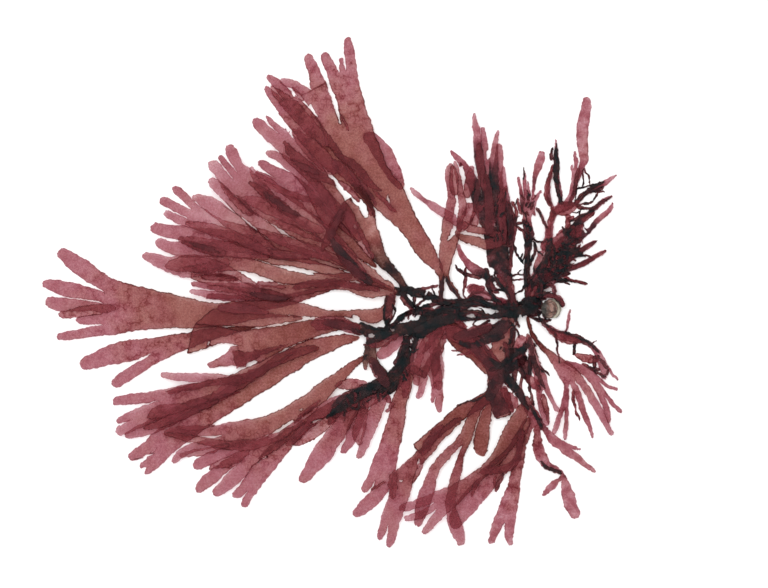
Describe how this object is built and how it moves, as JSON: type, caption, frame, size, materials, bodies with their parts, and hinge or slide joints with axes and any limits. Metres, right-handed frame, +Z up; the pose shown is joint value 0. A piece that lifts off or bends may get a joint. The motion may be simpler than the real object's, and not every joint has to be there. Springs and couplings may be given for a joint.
{
  "type": "dulse",
  "caption": "Branching red seaweed lying spread flat: thin forked blades fan out from dark stems that grow from one small crusted holdfast.",
  "frame": {"origin": "middle of the plant's outline, on the surface that it lies on", "axes": "+X towards the holdfast along the longest extent, +Y across the sheet, +Z up off the surface"},
  "size_m": [0.2896, 0.2546, 0.0047],
  "materials": {
    "blade": "thin dried red blade, matt and slightly see-through",
    "stem": "dried brown-black stem, matt",
    "crust": "rough beige-grey crust"
  },
  "bodies": {
    "root": {"frond_by_holdfast": "blade", "frond_center_broad": "blade", "frond_center_leaf": "blade", "frond_center_south": "blade", "frond_center_torn": "blade", "frond_east_fan": "blade", "frond_east_inner": "blade", "frond_east_side": "blade", "frond_north_back": "blade", "frond_north_broad": "blade", "frond_north_leaf": "blade", "frond_north_lobe": "blade", "frond_north_middle": "blade", "frond_northwest_band": "blade", "frond_northwest_dark": "blade", "frond_northwest_finger": "blade", "frond_northwest_fourth": "blade", "frond_northwest_hand": "blade", "frond_northwest_long": "blade", "frond_northwest_low": "blade", "frond_northwest_pair": "blade", "frond_northwest_pink": "blade", "frond_northwest_second": "blade", "frond_northwest_tall": "blade", "frond_northwest_thin": "blade", "frond_northwest_third": "blade", "frond_northwest_under": "blade", "frond_south_broad": "blade", "frond_south_finger": "blade", "frond_south_forked": "blade", "frond_south_lobe": "blade", "frond_south_long": "blade", "frond_south_short": "blade", "frond_south_torn": "blade", "frond_southeast_inner": "blade", "frond_southeast_torn": "blade", "frond_southeast_wide": "blade", "frond_southwest_dark": "blade", "frond_southwest_end": "blade", "frond_southwest_inner": "blade", "frond_southwest_long": "blade", "frond_southwest_low": "blade", "frond_southwest_slim": "blade", "frond_southwest_upper": "blade", "frond_west_fan": "blade", "frond_west_lower": "blade", "frond_west_middle": "blade", "frond_west_torn": "blade", "holdfast": "crust", "stem_east": "stem", "stem_north": "stem", "stem_north_fine": "stem", "stem_northeast": "stem", "stem_northeast_low": "stem", "stem_northwest": "stem", "stem_south": "stem", "stem_southeast": "stem", "stem_southwest": "stem", "stem_west": "stem", "stem_west_upper": "stem"}
  },
  "joints": []
}
